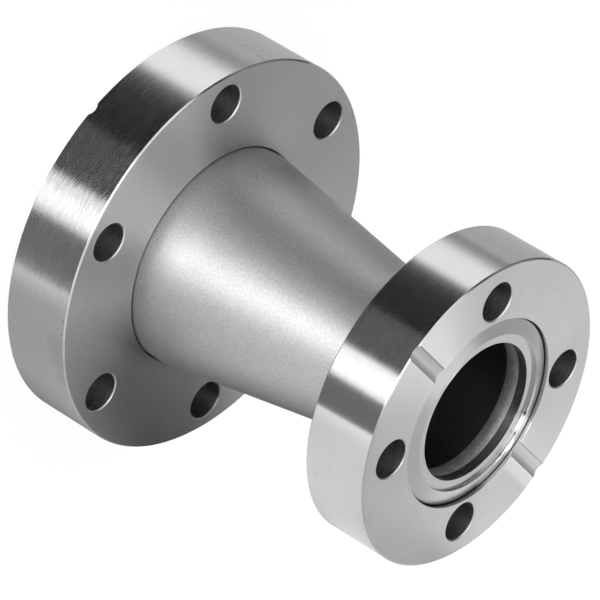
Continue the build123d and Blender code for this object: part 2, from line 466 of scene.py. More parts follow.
class Finish(Sheet):
    """The node tree of a material."""

    def __init__(self, name):
        self.material = bpy.data.materials.new(name)
        self.material.use_nodes = True
        super().__init__(self.material.node_tree)

    def place(self):
        """Place on the piece, in millimetres."""
        return Place(self, self.scaled(self.node("ShaderNodeTexCoord", output="Object"), 1 / MM))

    def normal(self):
        """Where the surface faces."""
        return self.node("ShaderNodeNewGeometry", output="Normal")

    def bump(self, strength, depth, height):
        """The surface's normal over bumps of a depth in millimetres."""
        inputs = {"Strength": strength, "Distance": depth * MM, "Height": height}
        return self.node("ShaderNodeBump", inputs)

    def tilted_around(self, tilt):
        """The surface's normal, tilted around the axis, so that reflections get ragged edges."""
        way = self.node("ShaderNodeTangent", direction_type="RADIAL", axis="Z")
        leaning = self.vector_math("ADD", self.normal(), self.scaled(way, tilt))
        return self.vector_math("NORMALIZE", leaning)

    def facing_up(self):
        """1 on faces that are square to the axis, 0 on the rims."""
        return self.ramp(self.math("ABSOLUTE", self.parts(self.normal())[2]), 0.80, 0.97)

    def metal(self, base, level, roughness, normal=None, smear=0.0):
        """Ends the tree in metal. Smear stretches reflections across the turning marks."""
        inputs = {"Base Color": self.scaled(base, level), "Metallic": 1.0, "Roughness": roughness}
        if normal:
            inputs["Normal"] = normal
        if smear:
            inputs |= {"Anisotropic": smear, "Anisotropic Rotation": ACROSS_MARKS}
        return self.close(self.node("ShaderNodeBsdfPrincipled", inputs))

    def close(self, shader):
        """Ends the tree in a shader and gives the material."""
        ending = self.tree.nodes.new("ShaderNodeOutputMaterial")
        self.feed(ending.inputs["Surface"], shader)
        return self.material


class Millimetres:
    """Reads the lengths of a group of sizes in millimetres."""

    def __init__(self, group):
        self.group = group

    def __getattr__(self, name):
        return getattr(self.group, name) / MM


def runs(corners, rounding):
    """For each corner: its place, the runs to the last and the next, its turn and its rounding."""
    for place, corner in enumerate(corners):
        here = Vector(corner[:2])
        before = Vector(corners[place - 1][:2]) - here
        after = Vector(corners[(place + 1) % len(corners)][:2]) - here
        yield here, before, after, pi - before.angle(after), (*corner, rounding)[2]


def section(corners, softening, hold=0.05, longest=0.4):
    """Points of a turned section. A corner is (radius, height) or (radius, height, rounding).

    Each corner is rounded, over the longest share of a run at most, and short holding runs
    next to it keep the long faces flat."""
    points = []
    for here, before, after, turn, rounding in runs(corners, softening):
        if rounding == 0 or turn < LEAST_TURN:
            points.append(here)
            continue
        reach = min(rounding * tan(turn / 2), longest * before.length, longest * after.length)
        entry = here + before.normalized() * reach
        leave = here + after.normalized() * reach
        if before.length > 6 * hold + reach:
            points.append(entry + before.normalized() * hold)
        steps = max(2, ceil(degrees(turn) / CORNER_STEP))
        for step in range(steps + 1):
            near = entry.lerp(here, step / steps)
            points.append(near.lerp(here.lerp(leave, step / steps), step / steps))
        if after.length > 6 * hold + reach:
            points.append(leave + after.normalized() * hold)
    return points


def bent_section(corners):
    """Points of the spun tube's section. A corner is (radius, height, bend), a bend a true arc."""
    points = []
    for here, before, after, turn, bend in runs(corners, 0):
        if bend == 0:
            points.append(here)
            continue
        middle = (before.normalized() + after.normalized()).normalized()
        centre = here + middle * bend / cos(turn / 2)
        entry = here + before.normalized() * bend * tan(turn / 2) - centre
        leave = here + after.normalized() * bend * tan(turn / 2) - centre
        first, last = atan2(entry.y, entry.x), atan2(leave.y, leave.x)
        sweep = (last - first + pi) % (2 * pi) - pi
        for step in range(BEND_STEPS + 1):
            at = first + sweep * step / BEND_STEPS
            points.append(centre + bend * Vector((cos(at), sin(at))))
    return points


def knife_corners(size, wall, side, edges):
    """Corners of a sealing face, from the bore to the foot of the pocket's wall."""
    edge = Millimetres(edges)
    tip = size.land + side * edge.knife_height
    foot = tip - side * (wall - size.knife) * tan(edges.knife_slope)
    places = (size.knife - edge.knife_flank, size.land), (size.knife, tip), (wall, foot)
    rounded = [(*place, rounding) for place, rounding in zip(places, KNIFE_ROUNDINGS)]
    return [(size.bore, size.land), *rounded]


def rim_corners(rim, low, high, chamfer):
    """Corners of a chamfered rim, from below."""
    inner = rim - chamfer
    return [(inner, low), (rim, low + chamfer), (rim, high - chamfer), (inner, high)]


def weld_channel(bore, tube, end, side):
    """Corners of the half of a seal weld's channel that lies on one side of the tube's end."""
    deep, edge = bore + tube.weld_depth, end + side * tube.weld_width / 2
    return [(deep, end, 0), (deep, edge, 0), (bore, edge, 0)]


SOCKET_KINDS = {int: "NodeSocketInt", float: "NodeSocketFloat", type(None): "NodeSocketMaterial"}


def new_tree(name, inputs):
    """A geometry tree that takes a section and named inputs, here with their defaults.

    An input without a default is a material."""
    tree = bpy.data.node_groups.new(name, "GeometryNodeTree")
    tree.interface.new_socket("Geometry", in_out="OUTPUT", socket_type="NodeSocketGeometry")
    tree.interface.new_socket("Section", in_out="INPUT", socket_type="NodeSocketGeometry")
    for label, default in inputs.items():
        kind = SOCKET_KINDS[type(default)]
        made = tree.interface.new_socket(label, in_out="INPUT", socket_type=kind)
        if default is not None:
            made.default_value = default
    sheet = Sheet(tree)
    entry = tree.nodes.new("NodeGroupInput")
    return sheet, {socket.name: Value(sheet, socket) for socket in entry.outputs if socket.name}


def mesh_place(sheet):
    """Place of a mesh's points, in metres."""
    return Place(sheet, sheet.node("GeometryNodeInputPosition"))


def circle(sheet, segments):
    """A curve around the Z axis with a radius of 1 metre."""
    inputs = {"Resolution": segments, "Radius": 1.0}
    return sheet.node("GeometryNodeCurvePrimitiveCircle", inputs, mode="RADIUS")


def moved(sheet, mesh, position):
    """A mesh with its points put elsewhere."""
    return sheet.node("GeometryNodeSetPosition", {"Geometry": mesh, "Position": position})


def turned(sheet, given):
    """Sweeps the section, which is closed and drawn in the XZ plane, once around the Z axis."""
    place = mesh_place(sheet)
    drawn = moved(sheet, given["Section"], sheet.vector(place.x - 1, -place.z, 0.0))
    line = sheet.node("GeometryNodeMeshToCurve", {"Mesh": drawn})
    return sheet.node("GeometryNodeCurveToMesh", {
        "Curve": circle(sheet, given["Segments"]), "Profile Curve": line,
    })


def ring_of(sheet, tool, number, first):
    """Copies of a cutting tool, turned about the Z axis by equal steps."""
    index = sheet.node("GeometryNodeInputIndex")
    placed = sheet.node("GeometryNodeInstanceOnPoints", {
        "Points": sheet.node("GeometryNodePoints", {"Count": number}),
        "Instance": tool,
        "Rotation": sheet.vector(0.0, 0.0, first + index * (2 * pi / number)),
    })
    return sheet.node("GeometryNodeRealizeInstances", {"Geometry": placed})


def drill(sheet, distance, profile):
    """A round cutter along Z. Its profile has pairs of height and radius, so that it can flare."""
    index = sheet.node("GeometryNodeInputIndex")
    height, radius = (
        sheet.node(
            "GeometryNodeIndexSwitch", {"Index": index, **dict(enumerate(values, 1))},
            choices=len(values), data_type="FLOAT",
        ) for values in zip(*profile)
    )
    line = sheet.node("GeometryNodeMeshLine", {"Count": len(profile)}, mode="OFFSET")
    standing = moved(sheet, line, sheet.vector(distance, 0.0, height))
    return sheet.node("GeometryNodeCurveToMesh", {
        "Curve": sheet.node("GeometryNodeMeshToCurve", {"Mesh": standing}),
        "Profile Curve": circle(sheet, DRILL_FACES), "Scale": radius, "Fill Caps": True,
    })


def channel(sheet, start, end, height, radius):
    """A round cutter that lies along a radius."""
    sizes = {"Vertices": CHANNEL_FACES, "Radius": radius, "Depth": end - start}
    return sheet.node("GeometryNodeTransform", {
        "Geometry": sheet.node("GeometryNodeMeshCylinder", sizes),
        "Translation": sheet.vector((start + end) / 2, 0.0, height),
        "Rotation": (0.0, pi / 2, 0.0),
    })


def finished(sheet, body, finishes, crease=32.0):
    """Smooth shading with creases, real geometry and the finishes: the end of every tree.

    Each finish has the faces that it goes on, and a later one covers the earlier ones."""
    bend = sheet.node("GeometryNodeInputMeshEdgeAngle")
    sharp = sheet.math("GREATER_THAN", bend, radians(crease))
    for domain, where, smooth in (("FACE", True, True), ("EDGE", sharp, False)):
        body = sheet.node("GeometryNodeSetShadeSmooth", {
            "Geometry": body, "Selection": where, "Shade Smooth": smooth,
        }, domain=domain)
    body = sheet.node("GeometryNodeRealizeInstances", {"Geometry": body})
    for faces, finish in finishes:
        body = sheet.node("GeometryNodeSetMaterial", {
            "Geometry": body, "Selection": faces, "Material": finish,
        })
    sheet.feed(sheet.tree.nodes.new("NodeGroupOutput").inputs[0], body)
    return sheet.tree


def turned_tree():
    """A plain turned piece, with a finish of its own for a flat that faces up inside a radius."""
    sheet, given = new_tree("Turned piece", {
        "Segments": 192, "Flat radius": 0.0, "Finish": None, "Flat finish": None,
    })
    upwards = sheet.parts(sheet.node("GeometryNodeInputNormal"))[2]
    inside = sheet.math("LESS_THAN", mesh_place(sheet).radius, given["Flat radius"])
    flat = inside * sheet.math("GREATER_THAN", upwards, FLAT)
    finishes = [(True, given["Finish"]), (flat, given["Flat finish"])]
    return finished(sheet, turned(sheet, given), finishes)


def flange_tree():
    """A turned disc with a circle of bolt holes and leak-check grooves."""
    sheet, given = new_tree("Bolted flange", {
        "Segments": 192, "Bolt holes": 6, "First bolt hole": 0.0, "Bolt circle": 0.03,
        "Hole radius": 0.0033, "Edge break": 0.0002, "Bottom": 0.0, "Top": 0.01,
        "Grooves": 2, "First groove": 0.0, "Groove start": 0.02, "Groove end": 0.03,
        "Groove height": 0.0, "Groove radius": 0.002,
        "Finish": None, "Hole finish": None, "Top finish": None, "Groove finish": None,
    })
    hole, breaks = given["Hole radius"], given["Edge break"]
    bottom, top = given["Bottom"], given["Top"]
    flare = hole + breaks + DRILL_SPARE
    bit = drill(sheet, given["Bolt circle"], [
        (bottom - DRILL_SPARE, flare), (bottom + breaks, hole),
        (top - breaks, hole), (top + DRILL_SPARE, flare),
    ])
    cutter = channel(
        sheet, given["Groove start"], given["Groove end"],
        given["Groove height"], given["Groove radius"],
    )
    disc = turned(sheet, given)
    for tool, number, first in (
        (bit, given["Bolt holes"], given["First bolt hole"]),
        (cutter, given["Grooves"], given["First groove"]),
    ):
        disc = sheet.node("GeometryNodeMeshBoolean", {
            "Mesh 1": disc, "Mesh 2": ring_of(sheet, tool, number, first),
        }, operation="DIFFERENCE", solver="EXACT")
    place = mesh_place(sheet)
    upwards = sheet.parts(sheet.node("GeometryNodeInputNormal"))[2]
    steep = sheet.math("LESS_THAN", sheet.math("ABSOLUTE", upwards), FLAT)
    reach = apart(*place.from_nearest(
        given["First bolt hole"], given["Bolt holes"], given["Bolt circle"],
    ))
    in_hole = sheet.math("LESS_THAN", reach, hole + breaks + 5 * NEAR) * steep
    at_top = sheet.math("GREATER_THAN", place.z, top - 2 * NEAR)
    on_top = sheet.math("GREATER_THAN", upwards, FLAT) * at_top
    across = place.from_nearest(given["First groove"], given["Grooves"], 0.0)[1]
    off_wall = apart(across, place.z - given["Groove height"]) - given["Groove radius"]
    in_groove = sheet.math("LESS_THAN", sheet.math("ABSOLUTE", off_wall), NEAR)
    return finished(sheet, disc, [
        (True, given["Finish"]), (in_hole, given["Hole finish"]),
        (on_top, given["Top finish"]), (in_groove, given["Groove finish"]),
    ])


def bead_tree():
    """A seal weld: a turned bead whose crown is laid in even ripples."""
    sheet, given = new_tree("Seal weld", {
        "Segments": 1080, "Ripples": 90, "Ripple height": 0.00005, "Middle": 0.0,
        "Half width": 0.0012, "Bore": 0.01, "Finish": None,
    })
    place = mesh_place(sheet)
    across = (place.z - given["Middle"]) / given["Half width"]
    around = sheet.math("ARCTAN2", place.y, place.x)
    wave = sheet.math("SINE", around * given["Ripples"] - across * across * 2.2)
    on_crown = sheet.math("LESS_THAN", place.radius, given["Bore"] - NEAR)
    lift = wave * given["Ripple height"] * on_crown * (1 - across * across)
    rippled = sheet.node("GeometryNodeSetPosition", {
        "Geometry": turned(sheet, given),
        "Offset": sheet.vector(
            place.x / place.radius * lift, place.y / place.radius * lift, 0.0,
        ),
    })
    return finished(sheet, rippled, [(True, given["Finish"])], crease=50.0)


def outward_order(outline):
    """The outline in the order that makes its swept faces point outwards."""
    area = sum(a.x * b.y - a.y * b.x for a, b in zip(outline, outline[1:] + outline[:1]))
    return outline if area < 0 else outline[::-1]


def make_piece(name, outline, tree, inputs, body, nodes):
    """Runs a section through a geometry tree, keeps the plain mesh, puts it on its body and hides
    the CAD nodes it stands for.
    """
    mesh = bpy.data.meshes.new(name)
    rows = [(point.x * MM, 0.0, point.y * MM) for point in outward_order(outline)]
    mesh.from_pydata(rows, [(at, (at + 1) % len(rows)) for at in range(len(rows))], [])
    piece = bpy.data.objects.new(name, mesh)
    bpy.context.scene.collection.objects.link(piece)
    modifier = piece.modifiers.new("Shape", "NODES")
    modifier.node_group = tree
    sockets = {item.name: item.identifier for item in tree.interface.items_tree}
    for label, value in inputs.items():
        modifier[sockets[label]] = value
    bpy.context.view_layer.update()
    seen = piece.evaluated_get(bpy.context.evaluated_depsgraph_get())
    result = bpy.data.meshes.new_from_object(seen)
    piece.modifiers.remove(modifier)
    piece.data = result
    bpy.data.meshes.remove(mesh)
    result.name = name
    if not result.polygons:
        raise RuntimeError(name + " came out empty")
    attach(piece, body)
    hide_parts(*nodes)


def turned_steel(steel, name, streaky, marks):
    """Lathe-turned steel: streaky rims that smear reflections across the marks, calmer faces."""
    sheet = Finish(name)
    place, flat = sheet.place(), sheet.facing_up()
    fine = place.turning_marks(6.0, 16.0)
    broad = place.turning_marks(2.2, 3.0)
    dashes = place.turning_marks(7.5, 14.0)
    cloud = sheet.noise(place.point, 0.11)
    rings = sheet.noise(sheet.vector(place.radius * 1.3, 0.0, 0.0), 1.0, 3.0, 0.6)
    lines = fine * 0.7 + broad * 0.3
    on_rim = (1 - flat) * streaky
    level = 0.94 + lines * (0.08 + on_rim * 0.20) + cloud * 0.10 + rings * 0.12 * flat
    level = level * (1 - place.spots(marks) * 0.5)
    hairs = sheet.ramp(dashes, 0.0, 0.24) * on_rim
    rough = sheet.blend(flat, steel.rim_roughness, steel.face_roughness)
    rough = rough + lines * 0.10 * (1 - flat) + hairs * 0.05
    normal = sheet.tilted_around(fine * on_rim * 0.035)
    return sheet.metal(steel.turned, level, rough, normal, steel.smear)


def satin_steel(steel):
    """The large flange's back: dull, with faint turning marks, an even grain and a few specks."""
    sheet = Finish("satin_back_steel")
    place = sheet.place()
    broad = place.turning_marks(1.1, 2.0)
    grain = sheet.noise(place.point, 3.6, 3.0, 0.7)
    cloud = sheet.noise(place.point, 0.13)
    specks = sheet.ramp(sheet.noise(place.point, 1.9, 2.0, 0.6), 0.24, 0.30)
    level = 0.95 + grain * 0.50 + cloud * 0.12 + broad * 0.06 + specks * 0.45
    rough = steel.back_roughness + grain * 0.10
    dents = sheet.bump(0.35, 0.03, grain + broad * 0.4)
    # Partly painted shade: the darker colour stands for the duller finish and for the shade that
    # the cone and ring cast on the back.
    return sheet.metal(steel.satin_and_shade, level, rough, dents, steel.smear)


def drilled_steel(steel, name, flange, hole):
    """Walls of the bolt holes: painted dark for the shade inside the holes, with drill marks around
    each hole and the mouth in plain turned steel.
    """
    sheet = Finish(name)
    place = sheet.place()
    outwards, aside = place.from_nearest(flange.first_bolt, flange.bolts, flange.bolt_circle / MM)
    reach = apart(outwards, aside)
    marks = sheet.noise(sheet.vector(
        outwards / reach * 2.0 + place.x * 0.1, aside / reach * 2.0, place.z * 4.0,
    ), 1.0, 3.0, 0.7)
    # Painted shade: the wall is dark inside the hole and plain turned steel at its mouth.
    mouth = sheet.ramp(reach, hole / MM + 0.02, hole / MM + 0.06)
    base = sheet.mix_colours(mouth, steel.shaded_hole_wall, steel.turned)
    return sheet.metal(base, 1 + marks * 1.4, 0.42 + marks * 0.20, sheet.bump(0.4, 0.03, marks))


def milled_steel(steel, name, first, half_width):
    """The leak-check grooves: milled smooth, with a thin line of painted shade along either edge.
    """
    sheet = Finish(name)
    outwards, aside = sheet.place().from_nearest(first, GROOVES, 0.0)
    # Painted shade: the colour darkens towards either edge of the groove.
    edge = sheet.ramp(sheet.math("ABSOLUTE", aside) / (half_width / MM), 0.84, 0.97)
    marks = sheet.noise(sheet.vector(outwards * 0.3, aside * 5.0, 0.0), 1.0)
    return sheet.metal(steel.milled, (0.95 + marks * 0.2) * (1 - edge * 0.55), 0.42 + marks * 0.10)


def lapped_steel(steel):
    """The hub's land inside the knife edge: smoother than the rest, so that it looks more even."""
    sheet = Finish("lapped_land_steel")
    fine = sheet.place().turning_marks(6.0, 2.0)
    return sheet.metal(steel.lapped, 0.97 + fine * 0.12, 0.17 + fine * 0.06, smear=steel.smear)


def polished_steel(steel, rim):
    """The hub: finely turned and polished, with faint rings, nicks and a painted shade line at its
    rim, where the ring's pocket shades it.
    """
    sheet = Finish("polished_hub_steel")
    place = sheet.place()
    fine = place.turning_marks(9.0, 3.0)
    speck = sheet.noise(place.point, 4.0, 3.0, 0.7)
    # Painted shade: a dark line at the hub's rim stands for the shade in the gap to the bolt ring.
    gap_shade = sheet.ramp(place.radius, rim - 0.22, rim - 0.06)
    level = (0.96 + fine * 0.10 + speck * 0.05) * (1 - gap_shade * 0.55)
    level = level * (1 - place.spots(HUB_MARKS) * 0.8)
    rough = sheet.blend(place.facing_in(), 0.25, 0.26) + fine * 0.08
    return sheet.metal(steel.polished, level, rough, sheet.bump(0.03, 0.02, fine), smear=0.8)


def blasted_steel(steel):
    """The cone: bead-blasted, with an even fine grain, soft mottling and an inside painted darker
    for the shade in the passage.
    """
    sheet = Finish("blasted_cone_steel")
    place = sheet.place()
    grain = sheet.noise(place.point, 3.8, 3.0, 0.65)
    mottle = sheet.noise(place.point, 0.28, 3.0, 0.6)
    along = sheet.vector(place.x * 0.5, place.y * 3.0, place.z * 0.45)
    scratches = sheet.ramp(sheet.noise(along, 0.9, 2.0, 0.7), 0.22, 0.26)
    inside = place.facing_in()
    level = 0.93 + grain * 0.90 + mottle * 0.12 - scratches * 0.10
    # Painted shade: the walls that face the axis are darkened for the shade inside the passage.
    level = level * sheet.blend(inside, 1.0, 0.45)
    rough = sheet.blend(inside, steel.blast_roughness, 0.30) + grain * 0.12
    dents = sheet.bump(0.50, 0.05, grain + sheet.cells(place.point, 4.0) * 0.5)
    return sheet.metal(steel.blasted, level, rough, dents)


def weld_steel(steel):
    """The seal welds: matt, with a crystalline grain."""
    sheet = Finish("weld_bead_steel")
    point = sheet.place().point
    crystals = sheet.cells(point, 2.4)
    grain = sheet.noise(point, 4.0, 3.0, 0.7)
    level = 0.78 + grain * 0.8 + sheet.noise(point, 0.7) * 0.5
    rough = 0.55 + (crystals - 0.5) * 0.15
    return sheet.metal(steel.welded, level, rough, sheet.bump(0.6, 0.04, (crystals + grain) * 0.6))


def drawn_steel(steel):
    """The retaining wire: drawn steel with fine marks along it."""
    sheet = Finish("drawn_wire_steel")
    drawn = sheet.place().turning_marks(12.0, 2.0)
    lines = sheet.bump(0.2, 0.01, drawn)
    return sheet.metal(steel.drawn, 0.975 + drawn * 0.15, 0.34 + drawn * 0.12, lines)


def flange_inputs(label, flange, edges, steel, bottom, top, side, finish, top_finish):
    """Inputs of the flange tree. The side is the one that has the grooves."""
    depth, half_width = flange.groove_depth, edges.groove_width / 2
    groove = (half_width ** 2 + depth ** 2) / (2 * depth)
    first_groove = flange.first_bolt + pi / flange.bolts * 3
    holes = drilled_steel(steel, f"drilled_{label}_holes", flange, edges.bolt_hole)
    grooves = milled_steel(steel, f"milled_{label}_grooves", first_groove, half_width)
    return {
        "Segments": edges.segments,
        "Bolt holes": flange.bolts, "First bolt hole": flange.first_bolt,
        "Bolt circle": flange.bolt_circle,
        "Hole radius": edges.bolt_hole, "Edge break": edges.hole_break,
        "Bottom": bottom, "Top": top,
        "Grooves": GROOVES, "First groove": first_groove,
        "Groove start": flange.pocket - GROOVE_SPARE, "Groove end": flange.rim + GROOVE_SPARE,
        "Groove height": (top if side == TOPSIDE else bottom) + side * (groove - depth),
        "Groove radius": groove,
        "Finish": finish, "Hole finish": holes,
        "Top finish": top_finish, "Groove finish": grooves,
    }


class REDUCER_OT_large_flange(bpy.types.Operator):
    """Builds the fixed six-bolt flange with its sealing face underneath"""
    bl_idname = "reducer.large_flange"
    bl_label = "Large flange"

    def execute(self, context):
        scene = context.scene
        flange, edges, steel = scene.reducer_flange, scene.reducer_edges, scene.reducer_steel
        size, edge, tube = map(Millimetres, (flange, edges, scene.reducer_tube))
        corners = [
            *knife_corners(size, size.pocket, UNDERSIDE, edges),
            (size.pocket, 0),
            *rim_corners(size.rim, 0, size.thickness, edge.rim_chamfer),
            (size.socket + edge.socket_break, size.thickness),
            (size.socket, size.thickness - edge.socket_break),
            (size.socket, tube.low_end),
            *weld_channel(size.bore, tube, tube.low_end, UNDERSIDE),
        ]
        rim = turned_steel(steel, "turned_flange_steel", 1.0, FLANGE_MARKS)
        make_piece(
            "large_flange_turned", section(corners, edge.softening), flange_tree(),
            flange_inputs(
                "flange", flange, edges, steel, 0.0, flange.thickness, UNDERSIDE,
                rim, satin_steel(steel),
            ), "fitting", ["large_flange"],
        )
        return {"FINISHED"}


class REDUCER_OT_cone_tube(bpy.types.Operator):
    """Builds the spun conical tube"""
    bl_idname = "reducer.cone_tube"
    bl_label = "Conical tube"

    def execute(self, context):
        scene = context.scene
        tube = Millimetres(scene.reducer_tube)
        wide, neck = tube.wide_radius, tube.neck_radius
        wide_bore, neck_bore = wide - tube.wall, neck - tube.wall
        corners = [
            (wide, tube.low_end, 0),
            (wide, tube.cone_bottom, tube.bend),
            (neck, tube.cone_top, tube.bend),
            (neck, tube.high_end, 0),
            *weld_channel(neck_bore, tube, tube.high_end, UNDERSIDE),
            (neck_bore, tube.cone_top, tube.bend),
            (wide_bore, tube.cone_bottom, tube.bend),
            *reversed(weld_channel(wide_bore, tube, tube.low_end, TOPSIDE)),
        ]
        make_piece(
            "cone_tube_spun", bent_section(corners), turned_tree(), {
                "Segments": scene.reducer_edges.segments,
                "Finish": blasted_steel(scene.reducer_steel),
            }, "fitting", ["cone_tube"],
        )
        return {"FINISHED"}


class REDUCER_OT_seal_welds(bpy.types.Operator):
    """Lays the rippled seal welds inside both ends of the tube"""
    bl_idname = "reducer.seal_welds"
    bl_label = "Seal welds"

    def execute(self, context):
        tube = Millimetres(context.scene.reducer_tube)
        tree, finish = bead_tree(), weld_steel(context.scene.reducer_steel)
        half = tube.weld_width / 2
        for name, node, outside, middle, ripples in (
            ("wide_end_weld_bead", "large_end_weld", tube.wide_radius, tube.low_end, 120),
            ("narrow_end_weld_bead", "small_end_weld", tube.neck_radius, tube.high_end, 84),
        ):
            bore = outside - tube.wall
            deep = bore + tube.weld_depth
            points = [(deep, middle + half), (bore, middle + half)]
            for step in range(1, CROWN_STEPS):
                across = 1 - 2 * step / CROWN_STEPS
                crown = tube.weld_crown * (1 - across * across)
                points.append((bore - crown, middle + across * half))
            points += [(bore, middle - half), (deep, middle - half)]
            make_piece(
                name, [Vector(point) for point in points], tree, {
                    "Segments": ripples * FACES_PER_RIPPLE,
                    "Ripples": ripples, "Ripple height": RIPPLE_HEIGHT,
                    "Middle": middle * MM, "Half width": half * MM, "Bore": bore * MM,
                    "Finish": finish,
                }, "fitting", [node],
            )
        return {"FINISHED"}


class REDUCER_OT_knife_edge_hub(bpy.types.Operator):
    """Builds the hub of the small end, with its knife edge and wire groove"""
    bl_idname = "reducer.knife_edge_hub"
    bl_label = "Knife-edge hub"

    def execute(self, context):
        scene = context.scene
        hub, edges, steel = scene.reducer_hub, scene.reducer_edges, scene.reducer_steel
        size, edge, tube = map(Millimetres, (hub, edges, scene.reducer_tube))
        chamfer = edge.hub_chamfer
        corners = [
            *knife_corners(size, size.rim, TOPSIDE, edges),
            (size.rim, size.wire_top, WIRE_ROUNDING),
            (size.wire_floor, size.wire_top, WIRE_ROUNDING),
            (size.wire_floor, size.wire_bottom, WIRE_ROUNDING),
            (size.rim, size.wire_bottom, WIRE_ROUNDING),
            (size.rim, size.shoulder + chamfer),
            (size.rim - chamfer, size.shoulder),
            (size.neck, size.shoulder),
            (size.neck, size.back + chamfer),
            (size.neck - chamfer, size.back),
            (size.socket, size.back),
            (size.socket, tube.high_end, 0),
            *weld_channel(size.bore, tube, tube.high_end, TOPSIDE),
        ]
        make_piece(
            "knife_edge_hub_turned", section(corners, edge.softening), turned_tree(), {
                "Segments": edges.segments,
                "Flat radius": hub.knife - edges.knife_flank,
                "Finish": polished_steel(steel, size.rim),
                "Flat finish": lapped_steel(steel),
            }, "fitting", ["knife_edge_hub"],
        )
        return {"FINISHED"}


class REDUCER_OT_bolt_ring(bpy.types.Operator):
    """Builds the loose four-bolt ring that turns on the hub"""
    bl_idname = "reducer.bolt_ring"
    bl_label = "Bolt ring"

    def execute(self, context):
        scene = context.scene
        ring, edges, steel = scene.reducer_ring, scene.reducer_edges, scene.reducer_steel
        size, edge = Millimetres(ring), Millimetres(edges)
        spread = acos((size.pocket - size.wire_circle) / size.wire_groove)
        turns = [spread * (2 * step / WIRE_SEAT_STEPS - 1) for step in range(WIRE_SEAT_STEPS + 1)]
        corners = [
            (size.pocket, size.face),
            *reversed(rim_corners(size.rim, size.back, size.face, edge.rim_chamfer)),
            (size.lip, size.back),
            (size.lip, size.lip_top),
            (size.pocket, size.lip_top, WIRE_ROUNDING),
            *((
                size.wire_circle + size.wire_groove * cos(at),
                size.wire_height + size.wire_groove * sin(at), 0,
            ) for at in turns),
        ]
        finish = turned_steel(steel, "turned_ring_steel", RING_STREAKS, RING_MARKS)
        make_piece(
            "bolt_ring_turned", section(corners, edge.softening), flange_tree(),
            flange_inputs(
                "ring", ring, edges, steel, ring.back, ring.face, TOPSIDE, finish, finish,
            ), "ring", ["bolt_ring"],
        )
        return {"FINISHED"}


class REDUCER_OT_retaining_wire(bpy.types.Operator):
    """Gives the split wire in the groove its drawn finish"""
    bl_idname = "reducer.retaining_wire"
    bl_label = "Retaining wire"

    def execute(self, context):
        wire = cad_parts["retaining_wire"]
        finish = drawn_steel(context.scene.reducer_steel)
        for slot in wire.material_slots:
            slot.material = finish
        return {"FINISHED"}


def aim_camera(studio):
    """Camera at the photograph's viewing angle."""
    turn, rise, roll = studio.camera_azimuth, studio.camera_height, studio.camera_roll
    back = Vector((cos(rise) * cos(turn), cos(rise) * sin(turn), sin(rise)))
    side = Vector((0, 0, 1)).cross(back).normalized()
    up = back.cross(side)
    right = side * cos(roll) + up * sin(roll)
    top = up * cos(roll) - side * sin(roll)
    data = bpy.data.cameras.new("camera")
    data.lens = studio.lens
    data.sensor_width = 36
    data.clip_start, data.clip_end = 0.01, 20
    camera = bpy.data.objects.new("camera", data)
    bpy.context.scene.collection.objects.link(camera)
    turned_to = Matrix((right, top, back)).transposed().to_4x4()
    place = CAMERA_AIM + back * studio.camera_distance
    camera.matrix_world = Matrix.Translation(place) @ turned_to
    bpy.context.scene.camera = camera


def light_tent(studio):
    """White background, plain white light, and a tent of panels that only reflections see."""
    world = bpy.data.worlds.new("light_tent")
    world.use_nodes = True
    bpy.context.scene.world = world
    world.cycles.sampling_method = "NONE"
    sheet = Sheet(world.node_tree)
    way = sheet.node("ShaderNodeTexCoord")
    x, y, z = sheet.parts(sheet.node("ShaderNodeVectorRotate", {
        "Vector": way, "Angle": -studio.camera_azimuth,
    }, rotation_type="Z_AXIS"))
    side = sheet.math("ARCTAN2", y, x) * (180 / pi)
    height = sheet.math("ARCSINE", z) * (180 / pi)
    level = 0.0
    for _, middle, width, bottom, top, strength in PANELS:
        aside = sheet.math("ABSOLUTE", sheet.math("WRAP", side - middle, 180, -180))
        soft = min(1, width / 4)
        lit = sheet.ramp(aside, width / 2 + soft, width / 2 - soft)
        lit = lit * sheet.band(height, bottom, top, PANEL_BORDER)
        level = sheet.blend(lit, level, strength)
    glossy = sheet.node("ShaderNodeLightPath", output="Is Glossy Ray")
    camera = sheet.node("ShaderNodeLightPath", output="Is Camera Ray")
    level = sheet.blend(camera, sheet.blend(glossy, studio.ambient, level), 1.0)
    sky = sheet.node("ShaderNodeBackground", {"Color": (1, 1, 1, 1), "Strength": level})
    ending = sheet.tree.nodes.new("ShaderNodeOutputWorld")
    sheet.feed(ending.inputs["Surface"], sky)


def stage_sheet(name, corners, material):
    """A four-cornered sheet of the stage."""
    mesh = bpy.data.meshes.new(name)
    mesh.from_pydata(corners, [], [(0, 1, 2, 3)])
    mesh.materials.append(material)
    sheet = bpy.data.objects.new(name, mesh)
    bpy.context.scene.collection.objects.link(sheet)
    return sheet


def level_square(size, height):
    """Corners of a level square around the axis, facing up."""
    half = size / 2
    return [(x, y, height) for x, y in ((-half, -half), (half, -half), (half, half), (-half, half))]


